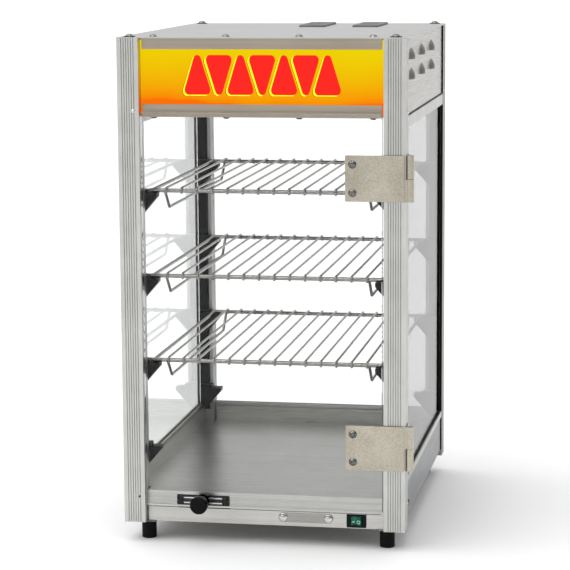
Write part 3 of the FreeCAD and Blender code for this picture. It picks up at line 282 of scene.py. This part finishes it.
def make_metals():
    """Posts, channels, sheets, trims, hinges, screws and wire."""
    for finish, rows in ((anodised, ANODISED), (brushed, BRUSHED)):
        for *look, holders in rows:
            finish(*look).gives(*holders)

    nickel = Build("matt_nickel", Metallic=1.0)
    speckle = nickel.noise(800, 4.0, 0.7)
    broad = nickel.noise(40)
    tone = nickel.spread(nickel.weighted(speckle, 0.7, broad, 0.3), SPECKLED)
    nickel.set("Base Color", nickel.mixed(tone, rgb(160, 153, 138), rgb(198, 192, 178)))
    nickel.set("Roughness", nickel.spread(speckle, MIDDLE, 0.26, 0.42))
    nickel.bump(speckle, 0.00003, 0.0004)
    nickel.gives(
        "hinge_door_leaf_upper", "hinge_door_leaf_lower",
        "hinge_post_leaf_upper", "hinge_post_leaf_lower",
    )

    bright = Build("polished_screw", Metallic=1.0)
    marks = bright.noise(700)
    tone = bright.spread(marks, SPOTTED)
    bright.set("Base Color", bright.mixed(tone, rgb(132, 132, 131), rgb(78, 78, 77)))
    bright.set("Roughness", bright.spread(marks, MIDDLE, 0.05, 0.14))
    bright.bump(marks, 0.00002, 0.0002)
    bright.gives(
        "cabinet_screws", "hinge_glass_bolts", "hinge_pins", "knob_fixings", "foot_plates",
    )

    wire = Build("chromed_wire", Metallic=1.0)
    ripple = wire.noise(500)
    tone = wire.spread(ripple, RIPPLED)
    wire.set("Base Color", wire.mixed(tone, rgb(166, 165, 162), rgb(128, 126, 122)))
    wire.set("Roughness", wire.spread(ripple, MIDDLE, 0.10, 0.22))
    wire.bump(ripple, 0.00002)
    wire.gives("shelf_1", "shelf_2", "shelf_3")


DULL = {"Specular IOR Level": 0.12}
DULLER = {"Specular IOR Level": 0.1}

# Each row: name, colour, roughness, grain in cycles per metre, its depth, other values, CAD nodes.
MOULDED = (
    ("black_supports", rgb(9, 9, 10), 0.42, GRAIN, GRAIN_DEPTH, DULL,
     ("shelf_supports_left", "shelf_supports_right")),
    ("black_catch", rgb(11, 11, 12), 0.38, GRAIN, GRAIN_DEPTH, DULL,
     ("catch_housing", "switch_housing", "cord_gland")),
    ("black_knob", rgb(1, 1, 2), 0.12, 400, 0.00001, DULLER,
     ("knob",)),
    ("black_rubber", rgb(7, 7, 8), 0.62, 1600, 0.00006, DULL,
     ("rubber_feet", "hinge_pads")),
    # Painted shade: besides the rubber seals, the panel seals hold black strips laid in the gaps
    # below the hood sides and above the base sides, which stand in for the shade in those gaps.
    ("seal_rubber_and_painted_gap_shade", rgb(16, 15, 9), 0.5, 1600, 0.00005, DULL,
     ("panel_seals",)),
    ("black_oxide", rgb(20, 20, 21), 0.4, GRAIN, GRAIN_DEPTH, {"Metallic": 0.6},
     ("star_washers",)),
    ("vent_paint", rgb(92, 93, 95), 0.5, 1400, 0.00012, {"Metallic": 0.3},
     ("roof_vents",)),
    ("sintered_magnet", rgb(40, 39, 37), 0.6, 1400, 0.00006, DULL,
     ("catch_magnet",)),
    ("phenolic", rgb(70, 42, 26), 0.4, GRAIN, GRAIN_DEPTH, {},
     ("thermostat",)),
    ("white_holder", rgb(226, 224, 216), 0.4, GRAIN, GRAIN_DEPTH, {},
     ("lamp_holders",)),
    ("heater_sheath", rgb(82, 78, 72), 0.45, GRAIN, GRAIN_DEPTH, {"Metallic": 0.9},
     ("heater",)),
    ("lamp_tube", rgb(246, 246, 240), 0.2, GRAIN, GRAIN_DEPTH, {},
     ("sign_lamp",)),
)


def make_mouldings():
    """Moulded, painted and rubber parts, the lamp and the heater."""
    for *look, holders in MOULDED:
        moulded(*look).gives(*holders)


# Each row: name, tint, refraction, axis that the two faces look along, CAD node. The right pane is
# greyer and reflects less than the others: this is painted shade, since it is the same glass as the
# left pane, with a grey tint and a low refraction that stand in for the darker view on that side.
GLASS = (
    ("door_glass_clear", 0.98, 1.5, Y, "door_glass"),
    ("rear_glass_clear", 0.96, 1.5, Y, "rear_glass"),
    ("side_glass_clear", 0.96, 1.5, X, "side_glass_left"),
    ("side_glass_painted_shade", 0.45, 1.08, X, "side_glass_right"),
)
GLASS_SHINE = (0.22, 0.22, 0.22, 1.0)
GLASS_EDGE = (0.10, 0.11, 0.06, 1.0)
GLASS_SHADE = (0.93, 0.95, 0.94, 1.0)
FACE_LIMIT = 0.6


def cut_edge(build, through):
    """1 on a pane's cut edges and 0 on its two faces, which look along one axis."""
    normal = build.node("ShaderNodeTexCoord").outputs["Normal"]
    facing = build.maths("ABSOLUTE", build.part(normal, through), 0.0)
    return build.maths("LESS_THAN", facing, FACE_LIMIT)


def make_glass():
    """Clear sheet glass with dark olive cut edges, which lets lamps light what is behind it."""
    for name, tint, ior, through, holder in GLASS:
        build = Build(name, **{"Transmission Weight": 1.0, "IOR": ior, "Roughness": 0.0})
        build.set("Specular Tint", GLASS_SHINE)
        smudge = build.noise(35, 4.0)
        clean = (tint * 0.99, tint, tint * 0.995, 1.0)
        smeared = (tint * 0.97, tint * 0.98, tint * 0.975, 1.0)
        face = build.mixed(build.spread(smudge, SMEARED), clean, smeared)
        build.set("Base Color", build.mixed(cut_edge(build, through), face, GLASS_EDGE))
        clear = build.node("ShaderNodeBsdfTransparent")
        clear.inputs["Color"].default_value = GLASS_SHADE
        path = build.node("ShaderNodeLightPath")
        mix = build.node("ShaderNodeMixShader")
        build.feed(path.outputs["Is Shadow Ray"], mix.inputs["Fac"])
        build.feed(build.shader.outputs["BSDF"], mix.inputs[1])
        build.feed(clear.outputs["BSDF"], mix.inputs[2])
        surface = build.tree.nodes["Material Output"].inputs["Surface"]
        build.feed(mix.outputs["Shader"], surface)
        build.gives(holder)


SIGN_WAVER = 0.006
SIGN_CURVE = 0.5


def lit_colour(build, low, high):
    """A colour that runs from the sign's foot to its top, and changes faster near the foot."""
    level = build.part(build.place, Z)
    waver = build.spread(build.noise(9, 2.0), MIDDLE, -SIGN_WAVER, SIGN_WAVER)
    height = build.spread(build.maths("ADD", level, waver), (SIGN_LOW, SIGN_HIGH))
    return build.mixed(build.maths("POWER", height, SIGN_CURVE), low, high)


def make_sign_sheet():
    """The lit sheet: orange at its foot, yellow at its top, with the print's slight unevenness."""
    build = Build("lit_sign", **{"Specular IOR Level": 0.03, "Emission Strength": 0.96})
    build.set("Base Color", lit_colour(build, rgb(60, 24, 0), rgb(56, 44, 0)))
    build.set("Emission Color", lit_colour(build, rgb(252, 112, 0), rgb(238, 210, 0)))
    build.set("Roughness", build.spread(build.noise(300), MIDDLE, 0.24, 0.36))
    build.bump(build.noise(900, 2.0), 0.00001)
    build.gives("sign_panel")


def make_rocker():
    """Green translucent plastic with a lamp behind it."""
    build = Build("green_rocker", **{"Specular IOR Level": 0.3, "Emission Strength": 0.35})
    glow = build.noise(260, 2.0)
    colour = build.mixed(build.spread(glow, NARROW), rgb(0, 56, 44), rgb(0, 92, 72))
    build.set("Base Color", colour)
    build.set("Emission Color", colour)
    build.set("Roughness", build.spread(glow, MIDDLE, 0.14, 0.24))
    build.bump(glow, 0.00002, 0.0003)
    build.gives("switch_rocker")


make_metals()
make_mouldings()
make_glass()
make_sign_sheet()
make_rocker()


# ---------------------------------------------------------------- sign artwork and switch marks

INK_ROUGHNESS = 0.35
INK_SHADE = 0.86


def ink(name, colour, glow):
    """Printed ink, slightly uneven, that is lit from behind."""
    build = Build(name, Roughness=INK_ROUGHNESS)
    uneven = build.noise(500)
    darker = tuple(value * INK_SHADE for value in colour[:3]) + (1.0,)
    shown = build.mixed(build.spread(uneven, NARROW), darker, colour)
    build.set("Base Color", shown)
    build.set("Emission Color", shown)
    build.set("Emission Strength", glow)
    build.set("Specular IOR Level", 0.15)
    gloss = build.spread(uneven, MIDDLE, INK_ROUGHNESS - 0.05, INK_ROUGHNESS + 0.05)
    build.set("Roughness", gloss)
    build.bump(uneven, 0.00001)
    return build.material


def mesh_piece(name, corners, faces, material, body):
    """A new piece from corners and faces, riding on a CAD body."""
    mesh = bpy.data.meshes.new(name)
    mesh.from_pydata([tuple(corner) for corner in corners], [], faces)
    mesh.materials.append(material)
    mesh.validate()
    piece = bpy.data.objects.new(name, mesh)
    bpy.context.scene.collection.objects.link(piece)
    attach(piece, body)
    return piece


def rounded(points, radius, steps=7):
    """A closed outline with its corners rounded."""
    made = []
    count = len(points)
    for index in range(count):
        corner = Vector(points[index])
        before = (Vector(points[index - 1]) - corner).normalized()
        after = (Vector(points[(index + 1) % count]) - corner).normalized()
        half = before.angle(after) / 2
        reach = radius / math.tan(half)
        centre = corner + (before + after).normalized() * (radius / math.sin(half))
        first = corner + before * reach - centre
        last = corner + after * reach - centre
        turn = first.angle_signed(last)
        for step in range(steps + 1):
            angle = -turn * step / steps
            made.append(centre + Vector((
                first.x * math.cos(angle) - first.y * math.sin(angle),
                first.x * math.sin(angle) + first.y * math.cos(angle),
            )))
    return made


def triangle(middle, half, height, points_up):
    """A triangle's three corners, with half of its height on each side of zero."""
    rise = height / 2 if points_up else -height / 2
    return [(middle - half, -rise), (middle + half, -rise), (middle, rise)]


def stretched(outline, low, high):
    """An outline scaled and moved upwards to reach from one height to another."""
    foot = min(point[1] for point in outline)
    rise = max(point[1] for point in outline) - foot
    return [(point[0], low + (point[1] - foot) * (high - low) / rise) for point in outline]


SIGN_FACE = 9.0


def sign_mark(name, outline, thickness, material):
    """A thin plate on the sign's face, over an outline in (right, up) millimetres."""
    count = len(outline)
    corners = []
    for back in (SIGN_FACE - thickness, SIGN_FACE):
        corners += [at(point[0], back, point[1]) for point in outline]
    faces = [(i, (i + 1) % count, count + (i + 1) % count, count + i) for i in range(count)]
    faces += [tuple(range(count)), tuple(reversed(range(count, 2 * count)))]
    piece = mesh_piece(name, corners, faces, material, "cabinet")
    made = bmesh.new()
    made.from_mesh(piece.data)
    bmesh.ops.recalc_face_normals(made, faces=made.faces)
    made.to_mesh(piece.data)
    made.free()


# The row of triangles: its limits, how many, half of one's width as a share of the pitch, and the
# radius of its corners.
ART_LEFT = 73.0
ART_RIGHT = 234.0
ART_LOW = 461.0
ART_HIGH = 502.5
ART_COUNT = 7
ART_PITCH = (ART_RIGHT - ART_LEFT) / ART_COUNT
ART_HALF = 0.68
ART_RADIUS = 4.2

# Each row: ink, shift to the right and up, growth, thickness. The lower layers show as a rim.
ART_LAYERS = (
    (ink("dark_ink", rgb(120, 52, 8), 0.1), -2.1, -1.5, 0.5, 0.02),
    (ink("yellow_ink", rgb(255, 226, 20), 0.6), -1.7, -1.2, 0.3, 0.05),
    (ink("red_ink", rgb(232, 24, 16), 0.5), 0.0, 0.0, 0.0, 0.08),
)

for number in range(ART_COUNT):
    centre = ART_LEFT + ART_PITCH * (number + 0.5)
    for layer, (paint, right, up, grow, thickness) in enumerate(ART_LAYERS):
        half = ART_PITCH * ART_HALF + grow
        height = ART_HIGH - ART_LOW + grow
        corners = triangle(centre + right, half, height, number % 2 == 0)
        outline = stretched(rounded(corners, ART_RADIUS), ART_LOW + up, ART_HIGH + up)
        sign_mark(f"sign_mark_{number + 1}_{layer}", outline, thickness, paint)


# The rocker's marks, in millimetres from the middle of its face.
ROCKER_MIDDLE = 251.8
ROCKER_UP = 7.4
BEFORE_ROCKER = -50
MARK_LIFT = 0.04
LINE_LEFT = -4.6
LINE_RIGHT = -2.0
LINE_HALF = 0.5
RING_MIDDLE = 2.4
RING_INNER = 1.35
RING_OUTER = 1.9
RING_STEPS = 32

rocker = nodes["switch_rocker"]
rocker_face = BVHTree.FromPolygons(
    [rocker.matrix_world @ vertex.co for vertex in rocker.data.vertices],
    [tuple(face.vertices) for face in rocker.data.polygons],
)
pale_ink = ink("pale_ink", rgb(176, 214, 206), 0.25)


def on_rocker(right, up):
    """The place on the rocker's face straight behind a point in front of it, just clear of it."""
    start = at(right, BEFORE_ROCKER, up)
    hit = rocker_face.ray_cast(start, Vector((0, 1, 0)))[0]
    return hit + Vector((0, -MARK_LIFT * MM, 0))


def rocker_mark(name, points, faces):
    """A flat mark printed on the rocker."""
    corners = [on_rocker(ROCKER_MIDDLE + right, ROCKER_UP + up) for right, up in points]
    mesh_piece(name, corners, faces, pale_ink, "rocker")


line = [
    (LINE_LEFT, -LINE_HALF), (LINE_RIGHT, -LINE_HALF),
    (LINE_RIGHT, LINE_HALF), (LINE_LEFT, LINE_HALF),
]
rocker_mark("rocker_mark_line", line, [(0, 1, 2, 3)])

turns = [2 * math.pi * step / RING_STEPS for step in range(RING_STEPS)]
ring = [
    (RING_MIDDLE + radius * math.cos(turn), radius * math.sin(turn))
    for radius in (RING_INNER, RING_OUTER) for turn in turns
]
bands = []
for step in range(RING_STEPS):
    after = (step + 1) % RING_STEPS
    bands.append((step, step + RING_STEPS, after + RING_STEPS, after))
rocker_mark("rocker_mark_ring", ring, bands)


# ---------------------------------------------------------------- camera and studio

CAMERA_LENS = 139.6
CAMERA_SENSOR = 36.0
CAMERA_OFFSET = Vector((0.58532, -2.25496, 0.62255))
CAMERA_TURN = (81.0765, 0.3839, 10.1849)
CAMERA_REACH = 200.0

FLOOR_HALF = 60
FLOOR_DARK = (0.82, 0.82, 0.82, 1.0)
FLOOR_LIGHT = (0.85, 0.85, 0.85, 1.0)

# The studio's walls: paler to the left, the back and above, and darker to the right and the front.
# Each row: axis, where the change starts and ends on it, the light at its start and its end.
WALLS = (
    (X, -1.0, 1.0, 0.55, 0.20),
    (Y, -1.0, 1.0, 0.0, 0.15),
    (Z, -0.1, 0.7, 0.0, 0.35),
)

scene = bpy.context.scene
camera = bpy.data.objects.new("camera", bpy.data.cameras.new("camera"))
scene.collection.objects.link(camera)
camera.data.lens = CAMERA_LENS
camera.data.sensor_width = CAMERA_SENSOR
camera.location = POST_CORNER + CAMERA_OFFSET
camera.rotation_euler = tuple(math.radians(angle) for angle in CAMERA_TURN)
camera.data.clip_end = CAMERA_REACH
scene.camera = camera

floor_corners = [
    (-FLOOR_HALF, -FLOOR_HALF, 0), (FLOOR_HALF, -FLOOR_HALF, 0),
    (FLOOR_HALF, FLOOR_HALF, 0), (-FLOOR_HALF, FLOOR_HALF, 0),
]
floor_mesh = bpy.data.meshes.new("floor")
floor_mesh.from_pydata(floor_corners, [], [(0, 1, 2, 3)])
floor = bpy.data.objects.new("floor", floor_mesh)
scene.collection.objects.link(floor)
pale = Build("pale_floor", Roughness=0.7)
pale.set("Base Color", pale.mixed(pale.noise(3, 2.0), FLOOR_DARK, FLOOR_LIGHT))
floor_mesh.materials.append(pale.material)


def soft_sun(name, source, width, strength):
    """A wide soft lamp, far away, that shines from a direction. The width is in degrees."""
    lamp = bpy.data.lights.new(name, "SUN")
    lamp.angle = math.radians(width)
    lamp.energy = strength
    made = bpy.data.objects.new(name, lamp)
    scene.collection.objects.link(made)
    made.location = Vector(source) * 2
    made.rotation_euler = Vector(source).to_track_quat("Z", "Y").to_euler()


soft_sun("key", source=(-0.6, -0.5, 1.5), width=70, strength=1.7)
soft_sun("fill", source=(0.3, 0.5, 1.6), width=90, strength=0.8)

world = bpy.data.worlds.new("studio")
world.use_nodes = True
scene.world = world
tree = world.node_tree
split = tree.nodes.new("ShaderNodeSeparateXYZ")
coordinates = tree.nodes.new("ShaderNodeTexCoord")
tree.links.new(coordinates.outputs["Generated"], split.inputs["Vector"])
glow = None
for axis, start, end, first, last in WALLS:
    part = tree.nodes.new("ShaderNodeMapRange")
    tree.links.new(split.outputs[axis], part.inputs["Value"])
    part.inputs["From Min"].default_value = start
    part.inputs["From Max"].default_value = end
    part.inputs["To Min"].default_value = first
    part.inputs["To Max"].default_value = last
    if glow is None:
        glow = part.outputs["Result"]
        continue
    total = tree.nodes.new("ShaderNodeMath")
    total.operation = "ADD"
    tree.links.new(glow, total.inputs[0])
    tree.links.new(part.outputs["Result"], total.inputs[1])
    glow = total.outputs[0]
background = tree.nodes["Background"]
tree.links.new(glow, background.inputs["Color"])
background.inputs["Strength"].default_value = 1.0
scene.view_settings.view_transform = "Standard"
